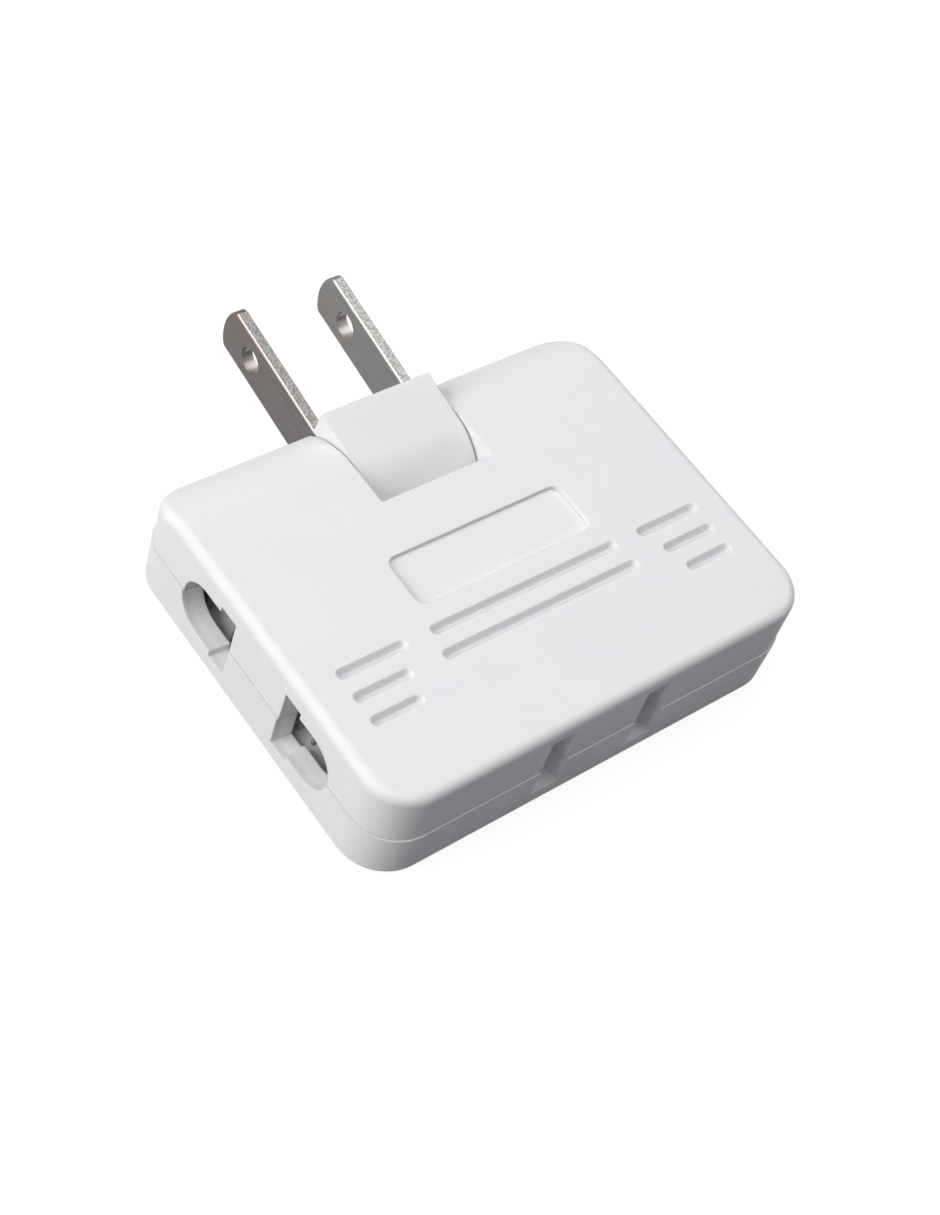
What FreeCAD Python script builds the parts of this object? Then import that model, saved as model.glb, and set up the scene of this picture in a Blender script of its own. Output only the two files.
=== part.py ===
import FreeCAD, Part
import os
from collections import namedtuple
from math import atan2, pi, sqrt
from types import SimpleNamespace

import Sketcher

os.makedirs("parts", exist_ok=True)
doc = FreeCAD.newDocument("travel_adapter")

# Driving dimensions, in mm and degrees
SIZES = {
    # case, its two halves and their walls
    "case_width": 56.5,
    "case_depth": 44.8,
    "case_height": 13.2,
    "parting_height": 6.15,
    "parting_step": 0.2,
    "front_corner": 5.5,
    "rear_corner": 4.8,
    "top_round": 1.1,
    "base_bevel": 0.3,
    "draft_angle": 1.0,
    "slope_run": 8.0,
    "slope_radius": 11.0,
    "slope_overrun": 0.5,
    "wall": 2.4,
    "inner_corner": 2.6,
    "floor_thickness": 1.8,
    "roof_thickness": 1.8,
    "rear_roof_thickness": 3.3,
    # grooves and label recess in the top
    "groove_width": 1.3,
    "groove_depth": 0.65,
    "groove_taper": 38.0,
    "groove_row": 6.3,
    "groove_pitch": 3.0,
    "long_groove_first": 12.3,
    "long_groove_second": 12.9,
    "short_groove_outer": 23.8,
    "short_groove_first": 15.3,
    "short_groove_second": 16.7,
    "short_groove_third": 17.5,
    "recess_half_width": 11.4,
    "recess_front": 3.35,
    "recess_rear": 3.1,
    "recess_corner": 1.2,
    "recess_depth": 0.45,
    # swivelling plug head and the notch that it turns in
    "axis_setback": 6.2,
    "tilt": 9.56,
    "head_shoulder": 0.05,
    "head_recess": 0.1,
    "head_reach": 6.5,
    "head_edge": 0.25,
    "head_gap": 0.3,
    "side_gap": 0.2,
    "cheek": 1.8,
    # blades
    "blade_spacing": 12.7,
    "blade_width": 6.35,
    "blade_thickness": 1.4,
    "blade_length": 17.1,
    "blade_tip_radius": 5.4,
    "blade_tip_corner": 0.8,
    "blade_bevel": 0.18,
    "blade_hole_distance": 11.6,
    "blade_hole_radius": 1.6,
    "blade_fit": 0.05,
    # pivot pins and the springs that rub on them
    "journal_radius": 2.5,
    "journal_fit": 0.05,
    "journal_proud": 0.2,
    "spigot_radius": 1.2,
    "spigot_depth": 2.0,
    "spigot_fit": 0.05,
    "nose_radius": 1.5,
    "nose_length": 1.3,
    "wiper_gap": 0.05,
    "wiper_width": 5.0,
    "wiper_head_room": 0.5,
    "wiper_bend": 0.5,
    "wiper_foot": 4.0,
    # outlets for flat blades and round pins
    "slot_spacing": 12.7,
    "slot_width": 2.65,
    "slot_offset": 0.55,
    "side_slot_height": 8.5,
    "side_outlet_height": 6.3,
    "pin_spacing": 19.1,
    "pin_hole_radius": 3.5,
    "side_outlet_taper": 6.0,
    "front_outlet_height": 6.7,
    "front_mouth_width": 3.6,
    "front_mouth_height": 9.2,
    "front_throat_width": 1.9,
    "front_throat_height": 7.8,
    # contacts behind the outlets
    "contact_metal": 0.4,
    "contact_setback": 0.5,
    "contact_depth": 11.5,
    "contact_height": 6.4,
    "contact_flare": 0.45,
    "contact_flare_length": 1.4,
    "contact_foot": 3.0,
    "contact_foot_width": 2.6,
    "grip_thickness": 1.5,
    "pin_gap": 4.4,
    "cradle_wall": 1.0,
    "cradle_gap": 0.1,
    "cradle_start": 6.0,
    "cradle_height": 3.7,
    "hold_down_width": 2.0,
    "hold_down_gap": 0.05,
    # bus bars and the sheet that keeps them apart
    "bar_metal": 0.5,
    "bar_width": 3.0,
    "bar_line": 2.7,
    "arm_width": 4.0,
    "branch_width": 3.0,
    "riser_width": 2.3,
    "riser_gap": 0.4,
    "sheet_thickness": 0.5,
    "sheet_margin": 1.0,
    # case screws
    "screw_x": 22.3,
    "screw_y": 16.8,
    "boss_half": 2.5,
    "boss_overlap": 0.3,
    "screw_radius": 0.95,
    "screw_fit": 0.05,
    "screw_head_radius": 1.9,
    "screw_head_height": 1.2,
    "screw_head_room": 0.2,
    "screw_sunk": 0.8,
    "screw_clearance": 0.2,
    "screw_bite": 2.6,
    "screw_hole_room": 1.4,
    "screw_slot": 0.5,
    "screw_slot_length": 2.4,
    "screw_slot_depth": 0.6,
}


# A number that carries the spreadsheet formula it came from
class Size:
    def __init__(self, number, formula=None):
        self.number = number
        self.formula = formula or f"{number:g}"

    def __add__(self, other):
        other = sized(other)
        return Size(self.number + other.number, f"({self.formula} + {other.formula})")

    def __sub__(self, other):
        other = sized(other)
        return Size(self.number - other.number, f"({self.formula} - {other.formula})")

    def __mul__(self, other):
        other = sized(other)
        return Size(self.number * other.number, f"({self.formula} * {other.formula})")

    def __truediv__(self, other):
        other = sized(other)
        return Size(self.number / other.number, f"({self.formula} / {other.formula})")

    def __neg__(self):
        return self * -1

    __radd__ = __add__
    __rmul__ = __mul__


def sized(value):
    return value if isinstance(value, Size) else Size(value)


def root(size):
    return Size(sqrt(size.number), f"sqrt({size.formula})")


sheet = doc.addObject("Spreadsheet::Sheet", "Sizes")
for row, (alias, number) in enumerate(SIZES.items(), start=1):
    sheet.set(f"A{row}", f"{number:g}")
    sheet.setAlias(f"A{row}", alias)
doc.recompute()
s = SimpleNamespace(**{alias: Size(number, f"Sizes.{alias}") for alias, number in SIZES.items()})

# Least distance and least change of volume that count
NEAR = 0.01
LEAST_CHANGE = 0.001

# Outlines: corners joined by lines, arcs whose centre is held along one axis, and whole circles
Corner = namedtuple("Corner", "x y")
Arc = namedtuple("Arc", "x y centre_x centre_y held")
Circle = namedtuple("Circle", "x y radius")


def bind(item, prop, size):
    item.setExpression(prop, sized(size).formula)


def vector(x, y, z=0):
    return FreeCAD.Vector(sized(x).number, sized(y).number, sized(z).number)


def hold(sketch, axis, geometry, point, size):
    index = sketch.addConstraint(
        Sketcher.Constraint(f"Distance{axis}", -1, 1, geometry, point, sized(size).number)
    )
    bind(sketch, f"Constraints[{index}]", size)


def draw_circle(sketch, circle):
    centre = vector(circle.x, circle.y)
    radius = sized(circle.radius)
    geometry = sketch.addGeometry(Part.Circle(centre, FreeCAD.Vector(0, 0, 1), radius.number), False)
    hold(sketch, "X", geometry, 3, circle.x)
    hold(sketch, "Y", geometry, 3, circle.y)
    index = sketch.addConstraint(Sketcher.Constraint("Radius", geometry, radius.number))
    bind(sketch, f"Constraints[{index}]", radius)


# Arc round a centre from one point to another, always stored anticlockwise; half rounds bulge to one side
def arc_between(start, end, centre, bulge):
    away = (start + end) * 0.5 - centre
    if away.Length < NEAR:
        along = end - start
        away = FreeCAD.Vector(along.y, -along.x, 0) * bulge
    spoke = start - centre
    clockwise = spoke.cross(away).z < 0
    first, last = (end, start) if clockwise else (start, end)
    angles = [atan2(point.y - centre.y, point.x - centre.x) for point in (first, last)]
    if angles[1] < angles[0]:
        angles[1] += 2 * pi
    circle = Part.Circle(centre, FreeCAD.Vector(0, 0, 1), spoke.Length)
    return Part.ArcOfCircle(circle, angles[0], angles[1]), clockwise


def draw_outline(sketch, outline, bulge):
    ends = []
    first = sketch.GeometryCount
    for number, step in enumerate(outline):
        before = outline[number - 1]
        start, end = vector(before.x, before.y), vector(step.x, step.y)
        if isinstance(step, Arc):
            centre = vector(step.centre_x, step.centre_y)
            curve, clockwise = arc_between(start, end, centre, bulge)
            geometry = sketch.addGeometry(curve, False)
            ends.append((2, 1) if clockwise else (1, 2))
            hold(sketch, step.held, geometry, 3, step.centre_x if step.held == "X" else step.centre_y)
        else:
            sketch.addGeometry(Part.LineSegment(start, end), False)
            ends.append((1, 2))
    for number, step in enumerate(outline):
        after = (number + 1) % len(outline)
        geometry = first + number
        sketch.addConstraint(
            Sketcher.Constraint("Coincident", geometry, ends[number][1], first + after, ends[after][0])
        )
        hold(sketch, "X", geometry, ends[number][1], step.x)
        hold(sketch, "Y", geometry, ends[number][1], step.y)


def sketch_in(body, role, offset, outlines, bulge=1):
    plane = next(item for item in body.Origin.OriginFeatures if item.Role == role)
    sketch = body.newObject("Sketcher::SketchObject", f"{body.Name}_outline")
    sketch.AttachmentSupport = (plane, [""])
    sketch.MapMode = "FlatFace"
    sketch.AttachmentOffset = FreeCAD.Placement(vector(0, 0, offset), FreeCAD.Rotation())
    bind(sketch, "AttachmentOffset.Base.z", offset)
    for outline in outlines:
        if isinstance(outline, Circle):
            draw_circle(sketch, outline)
        else:
            draw_outline(sketch, outline, bulge)
    sketch.Visibility = False
    return sketch


def new_body(label):
    body = doc.addObject("PartDesign::Body", label)
    body.Label = label
    return body


def volume_of(body):
    return body.Shape.Volume if body.Tip else 0


def must_change(body, before, adds):
    change = volume_of(body) - before
    if (change > 0) != adds or abs(change) < LEAST_CHANGE:
        raise ValueError(f"{body.Tip.Name} on {body.Label} changed nothing")


# Adds or cuts a straight-sided form
def extrude(body, kind, role, offset, outlines, length, reverse=False, symmetric=False, taper=None, bulge=1):
    before = volume_of(body)
    sketch = sketch_in(body, role, offset, outlines, bulge)
    feature = body.newObject(f"PartDesign::{kind}", f"{body.Name}_{kind}")
    feature.Profile = sketch
    bind(feature, "Length", length)
    feature.Reversed = reverse
    if symmetric:
        feature.SideType = "Symmetric"
    if taper is not None:
        bind(feature, "TaperAngle", taper)
    doc.recompute()
    must_change(body, before, kind == "Pad")
    return feature


def pad(body, role, offset, outlines, length, **options):
    return extrude(body, "Pad", role, offset, outlines, length, **options)


def pocket(body, role, offset, outlines, length, **options):
    return extrude(body, "Pocket", role, offset, outlines, length, **options)


# Rounds or bevels the edges of the last feature that a test picks
def dress(body, kind, amount, wanted):
    base = body.Tip
    names = [f"Edge{number}" for number, edge in enumerate(base.Shape.Edges, start=1) if wanted(edge)]
    if not names:
        raise ValueError(f"no edges found for a {kind} on {body.Label}")
    feature = body.newObject(f"PartDesign::{kind}", f"{body.Name}_{kind}")
    feature.Base = (base, names)
    bind(feature, "Radius" if kind == "Fillet" else "Size", amount)
    doc.recompute()
    return feature


def rectangle(low_x, high_x, low_y, high_y):
    return [Corner(low_x, low_y), Corner(high_x, low_y), Corner(high_x, high_y), Corner(low_x, high_y)]


# Rectangle about the Z axis with its own radius on the front and the rear corners
def rounded_plan(half_x, front_y, rear_y, front_radius, rear_radius):
    return [
        Corner(half_x - front_radius, front_y),
        Arc(half_x, front_y + front_radius, half_x - front_radius, front_y + front_radius, "X"),
        Corner(half_x, rear_y - rear_radius),
        Arc(half_x - rear_radius, rear_y, half_x - rear_radius, rear_y - rear_radius, "X"),
        Corner(rear_radius - half_x, rear_y),
        Arc(-half_x, rear_y - rear_radius, rear_radius - half_x, rear_y - rear_radius, "X"),
        Corner(-half_x, front_y + front_radius),
        Arc(front_radius - half_x, front_y, front_radius - half_x, front_y + front_radius, "X"),
    ]


# Long hole with half-round ends
def long_hole(low_x, high_x, centre_y, width):
    half = width / 2
    return [
        Corner(high_x - half, centre_y - half),
        Arc(high_x - half, centre_y + half, high_x - half, centre_y, "X"),
        Corner(low_x + half, centre_y + half),
        Arc(low_x + half, centre_y - half, low_x + half, centre_y, "X"),
    ]


# Places taken from the driving dimensions; cutting outlines run well past what they cut
beyond = sized(5)
half_width = s.case_width / 2
half_depth = s.case_depth / 2
inner_half_width = half_width - s.wall
inner_half_depth = half_depth - s.wall
roof_under = s.case_height - s.roof_thickness
rear_roof_under = s.case_height - s.rear_roof_thickness
slope_start = half_depth - s.slope_run
axis_y = half_depth - s.axis_setback
axis_z = s.case_height / 2
blade_half_width = s.blade_width / 2
blade_inner_face = s.blade_spacing / 2 - s.blade_thickness / 2
blade_outer_face = s.blade_spacing / 2 + s.blade_thickness / 2
head_half_width = blade_outer_face + s.head_shoulder
head_radius = axis_z - s.head_recess
notch_half = head_half_width + s.side_gap
notch_front = axis_y - head_radius - s.head_gap
cheek_outer = notch_half + s.cheek
bearing_radius = s.journal_radius + s.journal_fit
nose_end = cheek_outer + s.journal_proud + s.nose_length

# Contact strips: leaves either side of a flat blade, and one more beyond a round pin
strip = s.contact_metal
slot_centre = s.slot_spacing / 2
inner_leaf = slot_centre - s.grip_thickness / 2 - strip
middle_leaf = slot_centre + s.grip_thickness / 2
outer_leaf = s.pin_spacing / 2 + s.pin_gap / 2
contact_front = s.wall + s.contact_setback
contact_back = s.contact_depth
foot_start = contact_back + strip
foot_end = foot_start + s.contact_foot

# Levels of the stacked conductors on the floor of the case
rear_bar_top = s.floor_thickness + s.bar_metal
sheet_top = rear_bar_top + s.sheet_thickness
front_bar_top = sheet_top + s.bar_metal
arm_outer = half_width - foot_start
arm_inner = arm_outer - s.arm_width
bar_inner = s.bar_line - s.bar_width / 2
bar_outer = s.bar_line + s.bar_width / 2
branch_low = slot_centre - s.branch_width / 2
branch_high = slot_centre + s.branch_width / 2
branch_end = foot_start - half_depth
arm_end = middle_leaf + s.contact_foot_width
wiper_face = nose_end + s.wiper_gap
wiper_low = axis_y - s.wiper_width / 2
wiper_high = axis_y + s.wiper_width / 2


# One entry per contact: how its depth and sideways place map to the case, its leaves and its foot
Outlet = namedtuple("Outlet", "label place leaves base level foot_low foot_high")


def side_place(x_side, y_side):
    return lambda depth, across: Corner((half_width - depth) * x_side, across * y_side)


def front_place(x_side):
    return lambda depth, across: Corner(across * x_side, depth - half_depth)


def plate(outlet, near, far, low, high):
    return [outlet.place(depth, across) for depth, across in ((near, low), (far, low), (far, high), (near, high))]


def list_outlets():
    universal = [(inner_leaf, -1), (middle_leaf, 0), (outer_leaf, 1)]
    flat = [(inner_leaf, -1), (middle_leaf, 1)]
    found = []
    for x_name, x_side in (("left", -1), ("right", 1)):
        for y_name, y_side, base in (("front", -1, front_bar_top), ("rear", 1, rear_bar_top)):
            found.append(Outlet(
                f"contact_{x_name}_{y_name}", side_place(x_side, y_side), universal, base,
                s.side_outlet_height, middle_leaf, arm_end,
            ))
    for x_name, x_side, base in (("left", -1, rear_bar_top), ("right", 1, front_bar_top)):
        found.append(Outlet(
            f"contact_front_{x_name}", front_place(x_side), flat, base,
            s.front_outlet_height, inner_leaf, middle_leaf + strip,
        ))
    return found


outlets = list_outlets()


# Opening for a flat blade that runs into a round pin's hole, on one side of the outlet's centre
def side_opening(side):
    inner = slot_centre - s.slot_width / 2 - s.slot_offset
    outer = inner + s.slot_width
    half = s.side_slot_height / 2
    level = s.side_outlet_height
    pin = s.pin_spacing / 2
    reach = s.pin_hole_radius
    return [
        Corner(inner * side, level - half),
        Corner(outer * side, level - half),
        Corner(outer * side, level - reach),
        Corner(pin * side, level - reach),
        Arc(pin * side, level + reach, pin * side, level, "X"),
        Corner(outer * side, level + reach),
        Corner(outer * side, level + half),
        Corner(inner * side, level + half),
    ]


def front_opening(side, width, height):
    half = height / 2
    return rectangle(
        slot_centre * side - width / 2,
        slot_centre * side + width / 2,
        s.front_outlet_height - half,
        s.front_outlet_height + half,
    )


def cut_outlets(body):
    for side in (-1, 1):
        for end in (-1, 1):
            pocket(
                body, "YZ_Plane", half_width * side, [side_opening(end)], s.wall + s.contact_setback,
                reverse=side < 0, taper=-s.side_outlet_taper, bulge=end,
            )
    for side in (-1, 1):
        before = volume_of(body)
        mouth = sketch_in(body, "XZ_Plane", half_depth, [front_opening(side, s.front_mouth_width, s.front_mouth_height)])
        throat = sketch_in(
            body, "XZ_Plane", inner_half_depth, [front_opening(side, s.front_throat_width, s.front_throat_height)]
        )
        funnel = body.newObject("PartDesign::SubtractiveLoft", f"{body.Name}_funnel")
        funnel.Profile = mouth
        funnel.Sections = [throat]
        funnel.Ruled = True
        doc.recompute()
        must_change(body, before, False)


# Walls on the floor either side of each contact
def cradle_walls():
    walls = []
    for outlet in outlets:
        inner = outlet.leaves[0][0] - s.cradle_gap
        outer = outlet.leaves[-1][0] + strip + s.cradle_gap
        walls.append(plate(outlet, s.cradle_start, contact_back, inner - s.cradle_wall, inner))
        walls.append(plate(outlet, s.cradle_start, contact_back, outer, outer + s.cradle_wall))
    return walls


# Ribs under the roof that keep the contacts down
def add_hold_downs(body, level):
    ribs = [
        plate(outlet, contact_back - s.hold_down_width, contact_back, outlet.leaves[0][0], outlet.leaves[-1][0])
        for outlet in outlets if outlet.level is level
    ]
    base = level + s.contact_height / 2 + s.hold_down_gap
    pad(body, "XY_Plane", base, ribs, roof_under - base)


def screw_places():
    return [(x_side, y_side) for y_side in (-1, 1) for x_side in (-1, 1)]


def screw_circles(radius):
    return [Circle(s.screw_x * x_side, s.screw_y * y_side, radius) for x_side, y_side in screw_places()]


# Square posts that fill the inner corners at the front or the rear
def corner_posts(y_side):
    return [
        rectangle(
            (s.screw_x - s.boss_half) * x_side, (inner_half_width + s.boss_overlap) * x_side,
            (s.screw_y - s.boss_half) * y_side, (inner_half_depth + s.boss_overlap) * y_side,
        )
        for x_side in (-1, 1)
    ]


def cheek_block():
    return rectangle(-cheek_outer, cheek_outer, notch_front - s.cheek, inner_half_depth)


def cut_notch(body):
    plan = rectangle(-notch_half, notch_half, notch_front, half_depth + beyond)
    pocket(body, "XY_Plane", sized(0), [plan], (s.case_height + beyond) * 2, symmetric=True)


def cut_bearing(body, outline):
    pocket(body, "YZ_Plane", sized(0), [outline], (cheek_outer + s.riser_gap) * 2, symmetric=True)


def along_x(edge):
    box = edge.BoundBox
    return box.YLength < NEAR and box.ZLength < NEAR


def upper_shell():
    body = new_body("upper_shell")
    inset = s.parting_step
    plan = rounded_plan(
        half_width - inset, inset - half_depth, half_depth - inset, s.front_corner - inset, s.rear_corner - inset
    )
    pad(body, "XY_Plane", s.parting_height, [plan], s.case_height - s.parting_height, taper=-s.draft_angle)

    # the rear of the top falls away on a large arc
    slope_centre = s.case_height - s.slope_radius
    slope_rear = half_depth + s.slope_overrun
    run = slope_rear - slope_start
    slope_end = slope_centre + root(s.slope_radius * s.slope_radius - run * run)
    slope = [
        Corner(slope_start, s.case_height),
        Arc(slope_rear, slope_end, slope_start, slope_centre, "Y"),
        Corner(slope_rear, s.case_height + beyond),
        Corner(slope_start, s.case_height + beyond),
    ]
    pocket(body, "YZ_Plane", sized(0), [slope], (half_width + beyond) * 2, symmetric=True)
    rim_height = slope_end.number
    tangent_line = slope_start.number

    def on_rim(edge):
        return edge.BoundBox.ZMin > rim_height and not (
            along_x(edge) and abs(edge.BoundBox.YMin - tangent_line) < NEAR
        )

    dress(body, "Fillet", s.top_round, on_rim)

    # hollow, lower under the slope than under the flat top
    front_room = rounded_plan(inner_half_width, -inner_half_depth, slope_start, s.inner_corner, s.inner_corner)
    rear_room = rounded_plan(inner_half_width, -inner_half_depth, inner_half_depth, s.inner_corner, s.inner_corner)
    pocket(body, "XY_Plane", s.parting_height, [rear_room], rear_roof_under - s.parting_height, reverse=True)
    pocket(body, "XY_Plane", s.parting_height, [front_room], roof_under - s.parting_height, reverse=True)
    cut_outlets(body)

    # cheeks round the notch, then ribs and screw posts
    pad(body, "XY_Plane", s.parting_height, [cheek_block()], roof_under - s.parting_height)
    cut_notch(body)
    saddle = [
        Corner(axis_y - bearing_radius, s.parting_height - beyond),
        Corner(axis_y + bearing_radius, s.parting_height - beyond),
        Corner(axis_y + bearing_radius, axis_z),
        Arc(axis_y - bearing_radius, axis_z, axis_y, axis_z, "Y"),
    ]
    cut_bearing(body, saddle)
    add_hold_downs(body, s.side_outlet_height)
    add_hold_downs(body, s.front_outlet_height)
    pad(body, "XY_Plane", s.parting_height, corner_posts(-1), roof_under - s.parting_height)
    pad(body, "XY_Plane", s.parting_height, corner_posts(1), rear_roof_under - s.parting_height)
    pocket(
        body, "XY_Plane", s.parting_height, screw_circles(s.screw_radius + s.screw_fit),
        s.screw_bite + s.screw_hole_room, reverse=True,
    )

    # grooves and label recess in the top
    long_ends = [s.long_groove_first, s.long_groove_second]
    grooves = [
        long_hole(-end, end, -(s.groove_row + s.groove_pitch * row), s.groove_width)
        for row, end in enumerate(long_ends)
    ]
    short_ends = [s.short_groove_first, s.short_groove_second, s.short_groove_third]
    for row, end in enumerate(short_ends):
        level = -(s.groove_row + s.groove_pitch * row)
        grooves.append(long_hole(-s.short_groove_outer, -end, level, s.groove_width))
        grooves.append(long_hole(end, s.short_groove_outer, level, s.groove_width))
    pocket(body, "XY_Plane", s.case_height, grooves, s.groove_depth, taper=-s.groove_taper)
    recess = rounded_plan(
        s.recess_half_width, -s.recess_front, s.recess_rear, s.recess_corner, s.recess_corner
    )
    pocket(body, "XY_Plane", s.case_height, [recess], s.recess_depth)
    return body


def lower_shell():
    body = new_body("lower_shell")
    plan = rounded_plan(half_width, -half_depth, half_depth, s.front_corner, s.rear_corner)
    pad(body, "XY_Plane", sized(0), [plan], s.parting_height)
    dress(body, "Chamfer", s.base_bevel, lambda edge: edge.BoundBox.ZMax < NEAR)
    room = rounded_plan(inner_half_width, -inner_half_depth, inner_half_depth, s.inner_corner, s.inner_corner)
    pocket(body, "XY_Plane", s.floor_thickness, [room], s.parting_height - s.floor_thickness, reverse=True)
    cut_outlets(body)
    pad(body, "XY_Plane", s.floor_thickness, cradle_walls(), s.cradle_height)
    pad(body, "XY_Plane", s.floor_thickness, [cheek_block()], s.parting_height - s.floor_thickness)
    cut_notch(body)
    cut_bearing(body, Circle(axis_y, axis_z, bearing_radius))
    posts = corner_posts(-1) + corner_posts(1)
    pad(body, "XY_Plane", s.floor_thickness, posts, s.parting_height - s.floor_thickness)
    head_room = s.screw_head_radius + s.screw_head_room
    pocket(body, "XY_Plane", sized(0), screw_circles(head_room), s.screw_sunk + s.screw_head_height, reverse=True)
    through = screw_circles(s.screw_radius + s.screw_clearance)
    pocket(body, "XY_Plane", sized(0), through, s.parting_height, reverse=True)
    return body


# Head parts share a frame with its origin on the pivot axis, tilted as a whole
def head_body(label):
    body = new_body(label)
    body.Placement = FreeCAD.Placement(
        vector(0, axis_y, axis_z), FreeCAD.Rotation(FreeCAD.Vector(1, 0, 0), s.tilt.number)
    )
    bind(body, "Placement.Base.y", axis_y)
    bind(body, "Placement.Base.z", axis_z)
    bind(body, "Placement.Rotation.Angle", s.tilt)
    return body


def plug_head():
    body = head_body("plug_head")
    profile = [
        Corner(s.head_reach, -head_radius),
        Corner(s.head_reach, head_radius),
        Corner(sized(0), head_radius),
        Arc(sized(0), -head_radius, sized(0), sized(0), "X"),
    ]
    pad(body, "YZ_Plane", sized(0), [profile], head_half_width * 2, symmetric=True)
    rear = s.head_reach.number
    dress(body, "Chamfer", s.head_edge, lambda edge: edge.BoundBox.YMin > rear - NEAR)

    # each side has a seat for a blade's shank and a blind hole for its pin
    seat_half = blade_half_width + s.blade_fit
    seat = rectangle(-seat_half, s.head_reach + beyond, -seat_half, seat_half)
    seat_depth = head_half_width - blade_inner_face
    for side in (-1, 1):
        face = head_half_width * side
        pocket(body, "YZ_Plane", face, [seat], seat_depth, reverse=side < 0)
        hole = Circle(sized(0), sized(0), s.spigot_radius + s.spigot_fit)
        pocket(body, "YZ_Plane", face, [hole], seat_depth + s.spigot_depth + s.spigot_fit, reverse=side < 0)
    return body


def blade(label, side):
    body = head_body(label)
    tip = s.head_reach + s.blade_length
    tip_centre = tip - s.blade_tip_radius
    shoulder = tip_centre + root(
        s.blade_tip_radius * s.blade_tip_radius - blade_half_width * blade_half_width
    )
    profile = [
        Corner(shoulder, -blade_half_width),
        Arc(shoulder, blade_half_width, tip_centre, sized(0), "X"),
        Corner(-blade_half_width, blade_half_width),
        Corner(-blade_half_width, -blade_half_width),
    ]
    holes = [
        Circle(s.head_reach + s.blade_hole_distance, sized(0), s.blade_hole_radius),
        Circle(sized(0), sized(0), s.spigot_radius + s.spigot_fit),
    ]
    pad(
        body, "YZ_Plane", s.blade_spacing / 2 * side, [profile] + holes, s.blade_thickness,
        symmetric=True,
    )
    hole_end = s.head_reach + s.blade_hole_distance + s.blade_hole_radius

    def at_tip_corner(edge):
        return along_x(edge) and abs(edge.BoundBox.YMin - shoulder.number) < NEAR

    def round_tip(edge):
        return edge.BoundBox.XLength < NEAR and edge.BoundBox.YMin > hole_end.number

    dress(body, "Fillet", s.blade_tip_corner, at_tip_corner)
    dress(body, "Chamfer", s.blade_bevel, round_tip)
    return body


# Turned pin: spigot through the blade's eye, journal in the case's bearing, nose under the spring
def pivot_pin(label, side):
    body = head_body(label)
    steps = [
        (blade_inner_face - s.spigot_depth, s.spigot_radius),
        (blade_outer_face, s.journal_radius),
        (cheek_outer + s.journal_proud, s.nose_radius),
    ]
    outline = [Corner(steps[0][0] * side, sized(0))]
    for number, (start, radius) in enumerate(steps):
        end = steps[number + 1][0] if number + 1 < len(steps) else nose_end
        outline.append(Corner(start * side, radius))
        outline.append(Corner(end * side, radius))
    outline.append(Corner(nose_end * side, sized(0)))
    sketch = sketch_in(body, "XY_Plane", sized(0), [outline])
    turn = body.newObject("PartDesign::Revolution", f"{body.Name}_turning")
    turn.Profile = sketch
    turn.ReferenceAxis = (next(item for item in body.Origin.OriginFeatures if item.Role == "X_Axis"), [""])
    doc.recompute()
    return body


# Bent spring strip that stands on its bus bar and rubs on the pin's nose
def wiper_spring(label, side, base):
    body = new_body(label)
    top = rear_roof_under - s.wiper_head_room
    outline = [
        Corner(wiper_face * side, base),
        Corner((wiper_face + s.wiper_foot) * side, base),
        Corner((wiper_face + s.wiper_foot) * side, base + strip),
        Corner((wiper_face + strip) * side, base + strip),
        Corner((wiper_face + strip) * side, top - s.wiper_bend),
        Corner((wiper_face + strip + s.wiper_bend) * side, top),
        Corner((wiper_face + s.wiper_bend) * side, top),
        Corner(wiper_face * side, top - s.wiper_bend),
    ]
    pad(body, "XZ_Plane", -axis_y, [outline], s.wiper_width, symmetric=True)
    return body


# Folded strip seen from above: leaves run forward from a back plate and open out at their tips
def contact(outlet):
    body = new_body(outlet.label)
    outline = []
    last = len(outlet.leaves) - 1
    for number, (low, lean) in enumerate(outlet.leaves):
        high = low + strip
        outline.append(outlet.place(foot_start if number == 0 else contact_back, low))
        if lean:
            outline.append(outlet.place(contact_front + s.contact_flare_length, low))
        outline.append(outlet.place(contact_front, low + s.contact_flare * lean))
        outline.append(outlet.place(contact_front, high + s.contact_flare * lean))
        if lean:
            outline.append(outlet.place(contact_front + s.contact_flare_length, high))
        outline.append(outlet.place(foot_start if number == last else contact_back, high))
    pad(body, "XY_Plane", outlet.base, [outline], outlet.level + s.contact_height / 2 - outlet.base)
    foot = plate(outlet, contact_back, foot_end, outlet.foot_low, outlet.foot_high)
    pad(body, "XY_Plane", outlet.base, [foot], strip)
    return body


def contacts():
    return [contact(outlet) for outlet in outlets]


# Lies on the floor: arms to both rear contacts, the left spring and the front outlet's left contact
def bus_bar_rear():
    body = new_body("bus_bar_rear")
    outline = [
        Corner(-arm_outer, bar_inner),
        Corner(-branch_high, bar_inner),
        Corner(-branch_high, branch_end),
        Corner(-branch_low, branch_end),
        Corner(-branch_low, bar_inner),
        Corner(arm_outer, bar_inner),
        Corner(arm_outer, arm_end),
        Corner(arm_inner, arm_end),
        Corner(arm_inner, bar_outer),
        Corner(-arm_inner, bar_outer),
        Corner(-arm_inner, wiper_low),
        Corner(-wiper_face, wiper_low),
        Corner(-wiper_face, wiper_high),
        Corner(-arm_outer, wiper_high),
    ]
    pad(body, "XY_Plane", s.floor_thickness, [outline], s.bar_metal)
    return body


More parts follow.
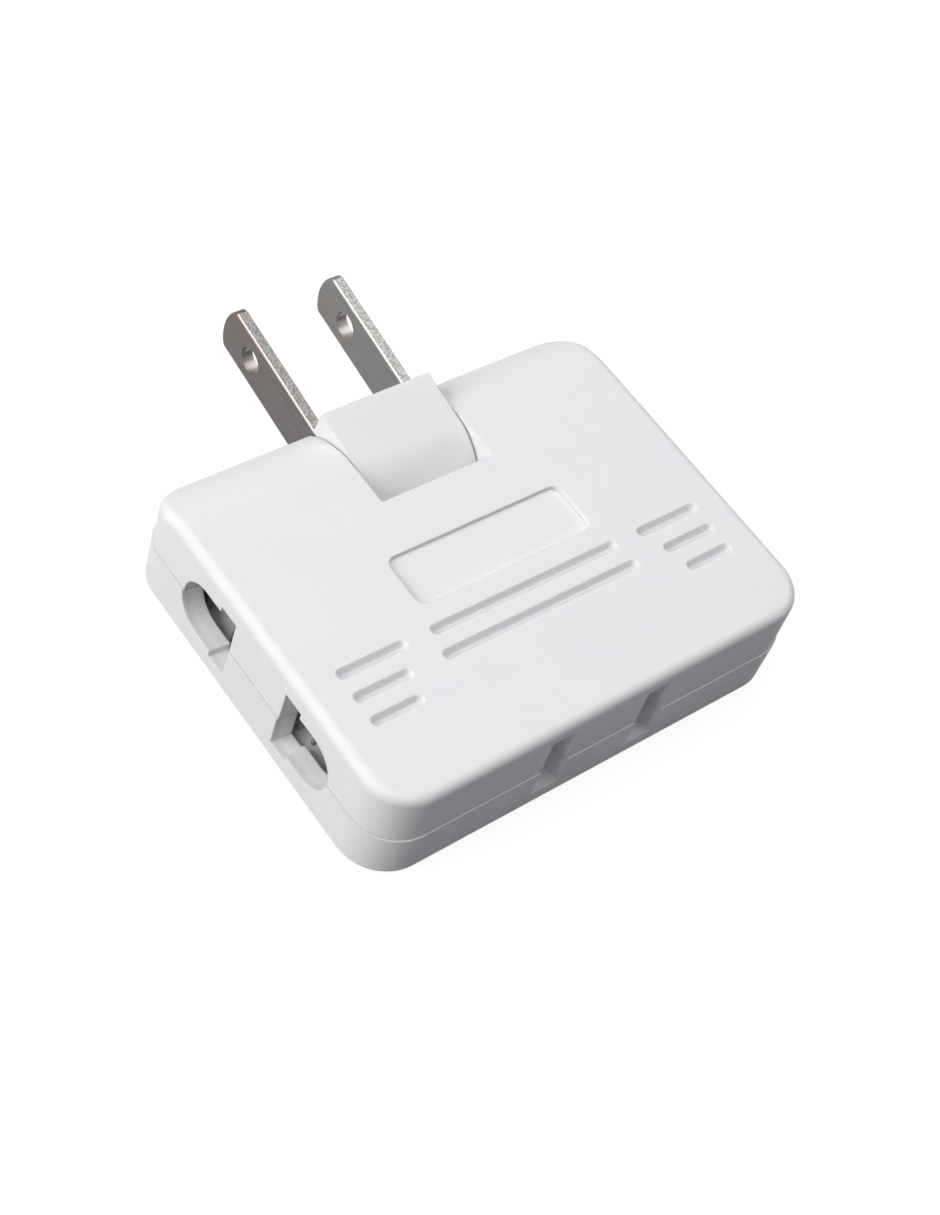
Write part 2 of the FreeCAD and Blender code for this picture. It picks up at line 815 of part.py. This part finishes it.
# Lies on the insulating sheet: arms to both front contacts, a branch and a riser to the right spring
def bus_bar_front():
    body = new_body("bus_bar_front")
    riser_low = cheek_outer + s.riser_gap
    riser_high = riser_low + s.riser_width
    outline = [
        Corner(-arm_outer, -bar_inner),
        Corner(-arm_outer, -arm_end),
        Corner(-arm_inner, -arm_end),
        Corner(-arm_inner, -bar_outer),
        Corner(branch_low, -bar_outer),
        Corner(branch_low, branch_end),
        Corner(branch_high, branch_end),
        Corner(branch_high, -bar_outer),
        Corner(arm_inner, -bar_outer),
        Corner(arm_inner, -arm_end),
        Corner(arm_outer, -arm_end),
        Corner(arm_outer, -bar_inner),
        Corner(riser_high, -bar_inner),
        Corner(riser_high, wiper_low),
        Corner(wiper_face + s.wiper_foot, wiper_low),
        Corner(wiper_face + s.wiper_foot, wiper_high),
        Corner(riser_low, wiper_high),
        Corner(riser_low, -bar_inner),
    ]
    pad(body, "XY_Plane", sheet_top, [outline], s.bar_metal)
    return body


def insulating_sheet():
    body = new_body("insulating_sheet")
    plan = rectangle(
        -arm_outer, arm_outer, -(bar_outer + s.sheet_margin), bar_outer + s.sheet_margin
    )
    pad(body, "XY_Plane", rear_bar_top, [plan], s.sheet_thickness)
    return body


def cylinder(x, y, base, radius, height):
    item = doc.addObject("Part::Cylinder", "screw_cylinder")
    bind(item, "Radius", radius)
    bind(item, "Height", height)
    for axis, size in zip("xyz", (x, y, base)):
        bind(item, f"Placement.Base.{axis}", size)
    return item


def slot_bar(x, y, base, length_x, length_y, height):
    item = doc.addObject("Part::Box", "screw_slot")
    bind(item, "Length", length_x)
    bind(item, "Width", length_y)
    bind(item, "Height", height)
    for axis, size in zip("xyz", (x - length_x / 2, y - length_y / 2, base)):
        bind(item, f"Placement.Base.{axis}", size)
    return item


def case_screws():
    screws = []
    for x_side, y_side in screw_places():
        x = s.screw_x * x_side
        y = s.screw_y * y_side
        head_top = s.screw_sunk + s.screw_head_height
        solid = doc.addObject("Part::MultiFuse", "screw_blank")
        solid.Shapes = [
            cylinder(x, y, s.screw_sunk, s.screw_head_radius, s.screw_head_height),
            cylinder(x, y, head_top, s.screw_radius, s.parting_height + s.screw_bite - head_top),
        ]
        cross = doc.addObject("Part::MultiFuse", "screw_cross")
        cross.Shapes = [
            slot_bar(x, y, s.screw_sunk, s.screw_slot_length, s.screw_slot, s.screw_slot_depth),
            slot_bar(x, y, s.screw_sunk, s.screw_slot, s.screw_slot_length, s.screw_slot_depth),
        ]
        screw = doc.addObject("Part::Cut", "screw")
        screw.Base = solid
        screw.Tool = cross
        screws.append(screw)
    group = doc.addObject("Part::Compound", "case_screws")
    group.Label = "case_screws"
    group.Links = screws
    return group


parts = [upper_shell(), lower_shell(), plug_head()]
parts += [blade("blade_left", -1), blade("blade_right", 1)]
parts += [pivot_pin("pivot_pin_left", -1), pivot_pin("pivot_pin_right", 1)]
parts += [
    wiper_spring("wiper_spring_left", -1, rear_bar_top),
    wiper_spring("wiper_spring_right", 1, front_bar_top),
]
parts += contacts()
parts += [bus_bar_rear(), bus_bar_front(), insulating_sheet(), case_screws()]

doc.recompute()
for item in doc.Objects:
    if "Invalid" in item.State or "Error" in item.State:
        raise ValueError(f"{item.Label} did not compute")
for item in parts:
    shape = item.Shape
    if shape.isNull() or not shape.isValid():
        raise ValueError(f"{item.Label} has no valid solid")
    box = shape.BoundBox
    print(
        f"{item.Label}: {len(shape.Solids)} solids, {shape.Volume:.1f} mm3, "
        f"x {box.XMin:.2f} {box.XMax:.2f}, y {box.YMin:.2f} {box.YMax:.2f}, z {box.ZMin:.2f} {box.ZMax:.2f}"
    )
    shape.exportStep(f"parts/{item.Label}.step")
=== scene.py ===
from math import radians

import bpy
from mathutils import Euler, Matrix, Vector

mm = 0.001
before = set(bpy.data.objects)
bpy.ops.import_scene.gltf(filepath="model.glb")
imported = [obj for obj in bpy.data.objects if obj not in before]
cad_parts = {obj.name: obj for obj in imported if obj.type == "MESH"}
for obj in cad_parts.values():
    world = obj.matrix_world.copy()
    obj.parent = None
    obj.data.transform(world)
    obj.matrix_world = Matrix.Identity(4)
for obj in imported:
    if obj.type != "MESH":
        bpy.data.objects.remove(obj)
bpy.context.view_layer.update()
print("frame loaded:", len(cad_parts), "nodes")


class Wire:  # a socket that adds its own Math nodes when it is used in an expression
    def __init__(self, finish, socket):
        self.finish = finish
        self.socket = socket

    def maths(self, operation, *terms):
        return self.finish.add("Math", {"operation": operation}, dict(enumerate(terms)))

    def __add__(self, other):
        return self.maths("ADD", self, other)

    def __sub__(self, other):
        return self.maths("SUBTRACT", self, other)

    def __rsub__(self, other):
        return self.maths("SUBTRACT", other, self)

    def __mul__(self, other):
        return self.maths("MULTIPLY", self, other)

    def __gt__(self, other):
        return self.maths("GREATER_THAN", self, other)

    def __lt__(self, other):
        return self.maths("LESS_THAN", self, other)

    def __abs__(self):
        return self.maths("ABSOLUTE", self)

    __radd__ = __add__
    __rmul__ = __mul__


class Finish:  # one node-built material, or the world
    bevelSamples = 8

    def __init__(self, name, owner=None):
        self.owner = owner or bpy.data.materials.new(name)
        self.owner.use_nodes = True
        self.tree = self.owner.node_tree
        self.tree.nodes.clear()

    def add(self, kind, settings=None, values=None, output=0):  # the one way in which nodes are made
        node = self.tree.nodes.new("ShaderNode" + kind)
        for key, value in (settings or {}).items():
            setattr(node, key, value)
        for key, value in (values or {}).items():
            if isinstance(value, Wire):
                self.tree.links.new(value.socket, node.inputs[key])
            else:
                node.inputs[key].default_value = value
        if node.outputs:
            return Wire(self, node.outputs[output])

    def place(self, centre=(0, 0, 0), turn=(0, 0, 0), scale=(1, 1, 1)):  # metres, turned about centre
        here = self.add("TexCoord", output="Object")
        shifted = self.add("VectorMath", {"operation": "SUBTRACT"}, {0: here, 1: centre})
        return self.add("Mapping", {}, {"Vector": shifted, "Rotation": turn, "Scale": scale})

    def axes(self, vector):
        node = self.add("SeparateXYZ", {}, {0: vector}).socket.node
        return [Wire(self, output) for output in node.outputs]

    def noise(self, vector, scale, detail=2.0, roughness=0.5):
        return self.add("TexNoise", {}, {
            "Vector": vector, "Scale": scale, "Detail": detail, "Roughness": roughness,
        })

    def spread(self, amount, low, high, start=0.3, end=0.7):
        return self.add("MapRange", {}, {
            "Value": amount, "From Min": start, "From Max": end, "To Min": low, "To Max": high,
        })

    def tint(self, amount, first, second):  # sockets 0, 6 and 7 are the factor and the two colours
        colours = [value if isinstance(value, Wire) else (*value, 1) for value in (first, second)]
        values = {0: amount, 6: colours[0], 7: colours[1]}
        return self.add("Mix", {"data_type": "RGBA"}, values, output=2)

    def bump(self, height, rounding=None):  # height in metres
        values = {"Height": height, "Strength": 1.0, "Distance": 1.0}
        if rounding:
            values["Normal"] = self.add("Bevel", {"samples": self.bevelSamples}, {"Radius": rounding})
        return self.add("Bump", {}, values)

    def surface(self, values):
        shader = self.add("BsdfPrincipled", {}, values)
        self.add("OutputMaterial", {}, {"Surface": shader})
        return self.owner

    def highest(self, first, second):
        return self.add("Math", {"operation": "MAXIMUM"}, {0: first, 1: second})

    def seen(self):  # 1 where the camera, a reflection or a clear piece looks straight at it
        path = self.add("LightPath").socket.node
        names = ("Is Camera Ray", "Is Glossy Ray", "Is Transmission Ray")
        camera, glossy, through = [Wire(self, path.outputs[name]) for name in names]
        return self.highest(self.highest(camera, glossy), through)


def paint(material, *nodes):
    for node in nodes:
        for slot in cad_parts[node].material_slots:
            slot.material = material


# moulded white plastic, with the faint cool clouding and fine spark texture of the case
casePlastic = {
    "white": (0.79, 0.79, 0.795),
    "cool": (0.755, 0.755, 0.80),
    "cloudScale": 130,
    "cloudRange": (0.45, 0.75),
    "clouding": 0.35,
    "polishScale": 390,
    "grainScale": 4200,
    "grainHeight": 0.004 * mm,
    "waveScale": 160,
    "waveHeight": 0.012 * mm,
    "roughness": (0.54, 0.64),
    "edge": 0.22 * mm,
    "ior": 1.49,
    "shine": 0.2,
    "glow": 0.35,
    "glowDepth": 0.9 * mm,
    "glowReach": (1, 0.95, 0.9),
    # painted shade: this grey, with the masks and strengths below, darkens the grooves and the parting
    # line
    "paintedShade": (0.60, 0.60, 0.61),
    "top": 13.2 * mm,
    "grooveMiddle": -9.3 * mm,
    "grooveReach": (24.6 * mm, 3.95 * mm),
    "grooveBottom": 1 * mm,
    "grooveShadeDepths": (0.02 * mm, 0.30 * mm),
    "grooveShadeStrength": 0.5,
    "parting": 6.15 * mm,
    "seamWidth": 0.16 * mm,
    "seamShadeStrength": 0.25,
    # painted light: a whiter colour for the walls inside the openings, placed by the masks below
    "inner": (0.93, 0.93, 0.935),
    "sideSkin": (27.8 * mm, 27.2 * mm),
    "sideReach": 14.2 * mm,
    "sideDepth": 13.0 * mm,
    "frontSkin": (-22.2 * mm, -21.8 * mm),
    "frontReach": 9.5 * mm,
    "innerMiddle": 6.2 * mm,
    "innerReach": 5.8 * mm,
}


def makeCasePlastic(name, settings):
    finish = Finish(name)
    here = finish.place()
    clouds = finish.noise(here, settings["cloudScale"], detail=3)
    clouds = finish.spread(clouds, 0, settings["clouding"], *settings["cloudRange"])
    polish = finish.noise(here, settings["polishScale"], detail=3)
    grain = finish.noise(here, settings["grainScale"], detail=3, roughness=0.6)
    wave = finish.noise(here, settings["waveScale"], detail=1)
    height = grain * settings["grainHeight"] + wave * settings["waveHeight"]

    # painted shade: the grooves are painted darker the deeper they go, and a thin line along the
    # parting line is painted darker too
    across, along, up = finish.axes(here)
    reachAcross, reachAlong = settings["grooveReach"]
    inGrooves = (abs(across) < reachAcross) * (abs(along - settings["grooveMiddle"]) < reachAlong)
    depth = finish.spread(settings["top"] - up, 0, settings["grooveShadeStrength"], *settings["grooveShadeDepths"])
    nearTop = up > settings["top"] - settings["grooveBottom"]
    # painted shade: a thin darker line along the parting line
    seam = (abs(up - settings["parting"]) < settings["seamWidth"]) * settings["seamShadeStrength"]
    paintedShade = inGrooves * nearTop * depth + seam

    # painted light: the walls inside the openings are painted whiter than the outside to brighten their
    # shade
    sideHoles = finish.spread(abs(across), 0, 1, *settings["sideSkin"])
    sideHoles = sideHoles * (abs(along) < settings["sideReach"]) * (abs(across) > settings["sideDepth"])
    frontHoles = finish.spread(along, 0, 1, *settings["frontSkin"])
    frontHoles = frontHoles * (abs(across) < settings["frontReach"]) * (along < 0)
    inner = (sideHoles + frontHoles) * (abs(up - settings["innerMiddle"]) < settings["innerReach"])
    colour = finish.tint(clouds, settings["white"], settings["cool"])
    colour = finish.tint(inner, colour, settings["inner"])
    return finish.surface({
        "Base Color": finish.tint(paintedShade, colour, settings["paintedShade"]),
        "Roughness": finish.spread(polish, *settings["roughness"]),
        "Normal": finish.bump(height, rounding=settings["edge"]),
        "IOR": settings["ior"],
        "Specular IOR Level": settings["shine"],
        "Subsurface Weight": settings["glow"],
        "Subsurface Radius": settings["glowReach"],
        "Subsurface Scale": settings["glowDepth"],
    })


paint(makeCasePlastic("casePlastic", casePlastic), "upper_shell", "lower_shell")

# the head is moulded from a slightly greyer batch
headPlastic = {
    **casePlastic,
    "white": (0.79, 0.79, 0.79),
    "cool": (0.76, 0.76, 0.80),
    "roughness": (0.55, 0.65),
}
paint(makeCasePlastic("headPlastic", headPlastic), "plug_head")
print("plastics done")

# plated blades: dull rolled faces, rough sheared edges, a painted highlight along the corners and a
# bright punched hole
blade = {
    "pivot": (0, 16.2 * mm, 6.6 * mm),
    "tilt": 9.56,
    "halfWidth": 3.175 * mm,
    "middle": 6.35 * mm,
    "halfThickness": 0.7 * mm,
    "bevel": 0.18 * mm,
    "holeAlong": 18.1 * mm,
    "holeRadius": 1.6 * mm,
    # the width and strength of the painted highlight along the blade corners
    "cornerHighlightWidth": 0.08 * mm,
    "cornerHighlightStrength": 0.9,
    "holeWear": 0.85,
    "margin": 0.015 * mm,
    "reddened": (12 * mm, 22 * mm),
    "redAlong": (0.25, 1),
    "redClouds": (0.2, 1),
    "redRange": (0.4, 0.6),
    "shearRange": (0.35, 0.65),
    "rollScale": (60, 300, 2600),
    "rollHeight": 0.004 * mm,
    "shearScale": (5200, 3600, 5200),
    "shearHeight": 0.04 * mm,
    "pitScale": 3200,
    "pitHeight": 0.004 * mm,
    "cloudScale": 240,
    "roughness": (0.32, 0.42),
    "edgeRoughness": 0.12,
    "edge": 0.06 * mm,
}
# the two blades are the same metal; their tones are set apart as painted light and shade, the left
# blade's darker and the right blade's lighter
litAndShadedBladeTones = {
    "blade_left": {
        "dark": (0.112, 0.105, 0.105),
        "light": (0.16, 0.15, 0.15),
        "cloud": (0.165, 0.12, 0.107),
        "shear": ((0.10, 0.095, 0.09), (0.26, 0.245, 0.235)),
        "cornerHighlightTone": (0.40, 0.33, 0.31),
        "hole": (0.32, 0.29, 0.28),
    },
    "blade_right": {
        "dark": (0.168, 0.172, 0.168),
        "light": (0.228, 0.230, 0.228),
        "cloud": (0.20, 0.18, 0.172),
        "shear": ((0.15, 0.15, 0.145), (0.37, 0.37, 0.35)),
        "cornerHighlightTone": (0.38, 0.38, 0.37),
        "hole": (0.36, 0.33, 0.32),
    },
}


def makeBladeMetal(name, tones):
    finish = Finish(name)
    tilt = (radians(-blade["tilt"]), 0, 0)
    inBlade = finish.place(blade["pivot"], tilt)
    across, along, up = finish.axes(inBlade)
    rolled = finish.place(blade["pivot"], tilt, blade["rollScale"])
    rolled = finish.noise(rolled, 1.0, detail=3)
    sheared = finish.place(blade["pivot"], tilt, blade["shearScale"])
    sheared = finish.noise(sheared, 1.0, roughness=0.6)
    pits = finish.noise(inBlade, blade["pitScale"], roughness=0.6)
    cloud = finish.noise(inBlade, blade["cloudScale"])

    offCentre = abs(abs(across) - blade["middle"])
    onEdge = abs(up) > blade["halfWidth"] - blade["margin"]
    cornerSum = blade["halfWidth"] + blade["halfThickness"] - blade["bevel"] - blade["margin"]
    onCorner = (abs(up) + offCentre > cornerSum) * (abs(up) > blade["halfWidth"] - blade["cornerHighlightWidth"])
    fromHole = along - blade["holeAlong"]
    radius = blade["holeRadius"] + blade["margin"]
    inHole = fromHole * fromHole + up * up < radius * radius

    face = finish.tint(finish.spread(rolled, 0, 1), tones["dark"], tones["light"])
    redAlong = finish.spread(along, *blade["redAlong"], *blade["reddened"])
    redClouds = finish.spread(cloud, *blade["redClouds"], *blade["redRange"])
    face = finish.tint(redAlong * redClouds, face, tones["cloud"])
    edge = finish.tint(finish.spread(sheared, 0, 1, *blade["shearRange"]), *tones["shear"])
    colour = finish.tint(onEdge, face, edge)
    # painted highlight: a lighter band along each corner of the blade edges
    colour = finish.tint(onCorner * blade["cornerHighlightStrength"], colour, tones["cornerHighlightTone"])
    colour = finish.tint(inHole * blade["holeWear"], colour, tones["hole"])
    height = rolled * blade["rollHeight"] + pits * blade["pitHeight"]
    height = height + onEdge * sheared * blade["shearHeight"]
    return finish.surface({
        "Base Color": colour,
        "Metallic": 1.0,
        "Roughness": finish.spread(rolled, *blade["roughness"]) + onEdge * blade["edgeRoughness"],
        "Normal": finish.bump(height, rounding=blade["edge"]),
    })


for node, tones in litAndShadedBladeTones.items():
    paint(makeBladeMetal(node + "Metal", tones), node)

# strip and turned parts inside
innerMetals = {
    "contactMetal": {
        "colours": ((0.30, 0.27, 0.26), (0.46, 0.42, 0.40)),
        "streaks": (900, 60, 60),
        "roughness": (0.3, 0.5),
    },
    "springMetal": {
        "colours": ((0.48, 0.27, 0.14), (0.62, 0.40, 0.24)),
        "streaks": (60, 60, 900),
        "roughness": (0.25, 0.4),
    },
    "barMetal": {
        "colours": ((0.55, 0.40, 0.16), (0.70, 0.55, 0.26)),
        "streaks": (80, 900, 80),
        "roughness": (0.28, 0.42),
    },
    "pinMetal": {
        "colours": ((0.62, 0.47, 0.20), (0.76, 0.62, 0.32)),
        "streaks": (2400, 90, 90),
        "roughness": (0.22, 0.36),
    },
    "screwMetal": {
        "colours": ((0.45, 0.46, 0.48), (0.62, 0.63, 0.65)),
        "streaks": (700, 700, 1600),
        "roughness": (0.28, 0.42),
    },
}
tarnish = {"colour": (0.15, 0.12, 0.11), "scale": 320, "strength": 0.5}
strip = {"streakHeight": 0.01 * mm, "edge": 0.06 * mm}


def makeStripMetal(name, settings):
    finish = Finish(name)
    streaks = finish.noise(finish.place(scale=settings["streaks"]), 1.0, detail=3, roughness=0.6)
    patches = finish.noise(finish.place(), tarnish["scale"], detail=3, roughness=0.6)
    colour = finish.tint(finish.spread(streaks, 0, 1), *settings["colours"])
    colour = finish.tint(finish.spread(patches, 0, tarnish["strength"]), colour, tarnish["colour"])
    return finish.surface({
        "Base Color": colour,
        "Metallic": 1.0,
        "Roughness": finish.spread(patches, *settings["roughness"]),
        "Normal": finish.bump(streaks * strip["streakHeight"], rounding=strip["edge"]),
    })


innerNodes = {
    "contactMetal": [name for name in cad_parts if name.startswith("contact_")],
    "springMetal": ["wiper_spring_left", "wiper_spring_right"],
    "barMetal": ["bus_bar_rear", "bus_bar_front"],
    "pinMetal": ["pivot_pin_left", "pivot_pin_right"],
    "screwMetal": ["case_screws"],
}
for name, settings in innerMetals.items():
    paint(makeStripMetal(name, settings), *innerNodes[name])

insulatingBoard = {
    "pale": (0.52, 0.44, 0.30),
    "fibre": (0.36, 0.29, 0.19),
    "fibreScale": 1500,
    "fibreStretch": (1, 0.2, 1),
    "fibreHeight": 0.02 * mm,
    "roughness": 0.85,
}


def makeInsulatingBoard():
    finish = Finish("insulatingBoard")
    here = finish.place(scale=insulatingBoard["fibreStretch"])
    fibres = finish.noise(here, insulatingBoard["fibreScale"], detail=4, roughness=0.7)
    fibred = finish.spread(fibres, 0, 1)
    return finish.surface({
        "Base Color": finish.tint(fibred, insulatingBoard["pale"], insulatingBoard["fibre"]),
        "Roughness": insulatingBoard["roughness"],
        "Normal": finish.bump(fibres * insulatingBoard["fibreHeight"]),
    })


paint(makeInsulatingBoard(), "insulating_sheet")
print("metals and board done")

# the floor is white to the camera and keeps a soft shadow; to the lamps it is a pale grey table
floor = {"size": 3.0, "drop": 0.02 * mm, "grey": (0.27, 0.27, 0.29), "shadowed": 0.20, "glow": 0.87}


def makeFloor():
    bpy.ops.object.select_all(action="DESELECT")
    bpy.ops.mesh.primitive_plane_add(size=floor["size"], location=(0, 0, -floor["drop"]))
    plane = bpy.context.object
    plane.name = "studioFloor"
    finish = Finish("studioFloor")
    table = finish.add("BsdfDiffuse", {}, {"Color": (*floor["grey"], 1)})
    lit = finish.add("BsdfDiffuse", {}, {"Color": (floor["shadowed"],) * 3 + (1,)})
    glow = finish.add("Emission", {}, {"Color": (1, 1, 1, 1), "Strength": floor["glow"]})
    white = finish.add("AddShader", {}, {0: lit, 1: glow})
    mixed = finish.add("MixShader", {}, {0: finish.seen(), 1: table, 2: white})
    finish.add("OutputMaterial", {}, {"Surface": mixed})
    plane.data.materials.append(finish.owner)


makeFloor()

# a broad soft box overhead, a smaller one to the left, and a dim grey room
room = {"sky": (0.083, 0.083, 0.092), "seen": (1, 1, 1)}
lamps = {
    "top": {"place": (0.15, 0.05, 0.52), "size": 0.65, "power": 2.3, "colour": (0.985, 0.98, 1.0)},
    "side": {"place": (-0.49, 0.11, 0.26), "size": 0.50, "power": 3.0, "colour": (1.0, 1.0, 0.985)},
}


def makeRoom():
    world = bpy.data.worlds.new("room")
    world.use_nodes = True
    bpy.context.scene.world = world
    finish = Finish("room", world)
    colour = finish.tint(finish.seen(), room["sky"], room["seen"])
    background = finish.add("Background", {}, {"Color": colour, "Strength": 1.0})
    finish.add("OutputWorld", {}, {"Surface": background})


def makeLamp(name, settings):
    data = bpy.data.lights.new(name, "AREA")
    data.shape = "DISK"
    data.size = settings["size"]
    data.energy = settings["power"]
    data.color = settings["colour"]
    lamp = bpy.data.objects.new(name, data)
    bpy.context.collection.objects.link(lamp)
    lamp.location = settings["place"]
    lamp.rotation_euler = (-Vector(settings["place"])).to_track_quat("-Z", "Y").to_euler()


makeRoom()
for name, settings in lamps.items():
    makeLamp(name, settings)

# camera solved from the photograph's edges
view = {
    "place": (-111.9 * mm, -82.4 * mm, 177.0 * mm),
    "turn": (36.395, -13.296, -36.526),
    "focalPixels": 2080.9,
    "imageHeight": 1215,
    "sensor": 36,
    "clipStart": 1 * mm,
}


def makeCamera():
    data = bpy.data.cameras.new("photoView")
    data.sensor_width = view["sensor"]
    data.lens = view["focalPixels"] * view["sensor"] / view["imageHeight"]
    data.clip_start = view["clipStart"]
    camera = bpy.data.objects.new("photoView", data)
    bpy.context.collection.objects.link(camera)
    camera.location = view["place"]
    camera.rotation_euler = Euler([radians(angle) for angle in view["turn"]])
    bpy.context.scene.camera = camera


makeCamera()
bpy.context.scene.view_settings.view_transform = "Standard"
print("stage, lamps and camera done")
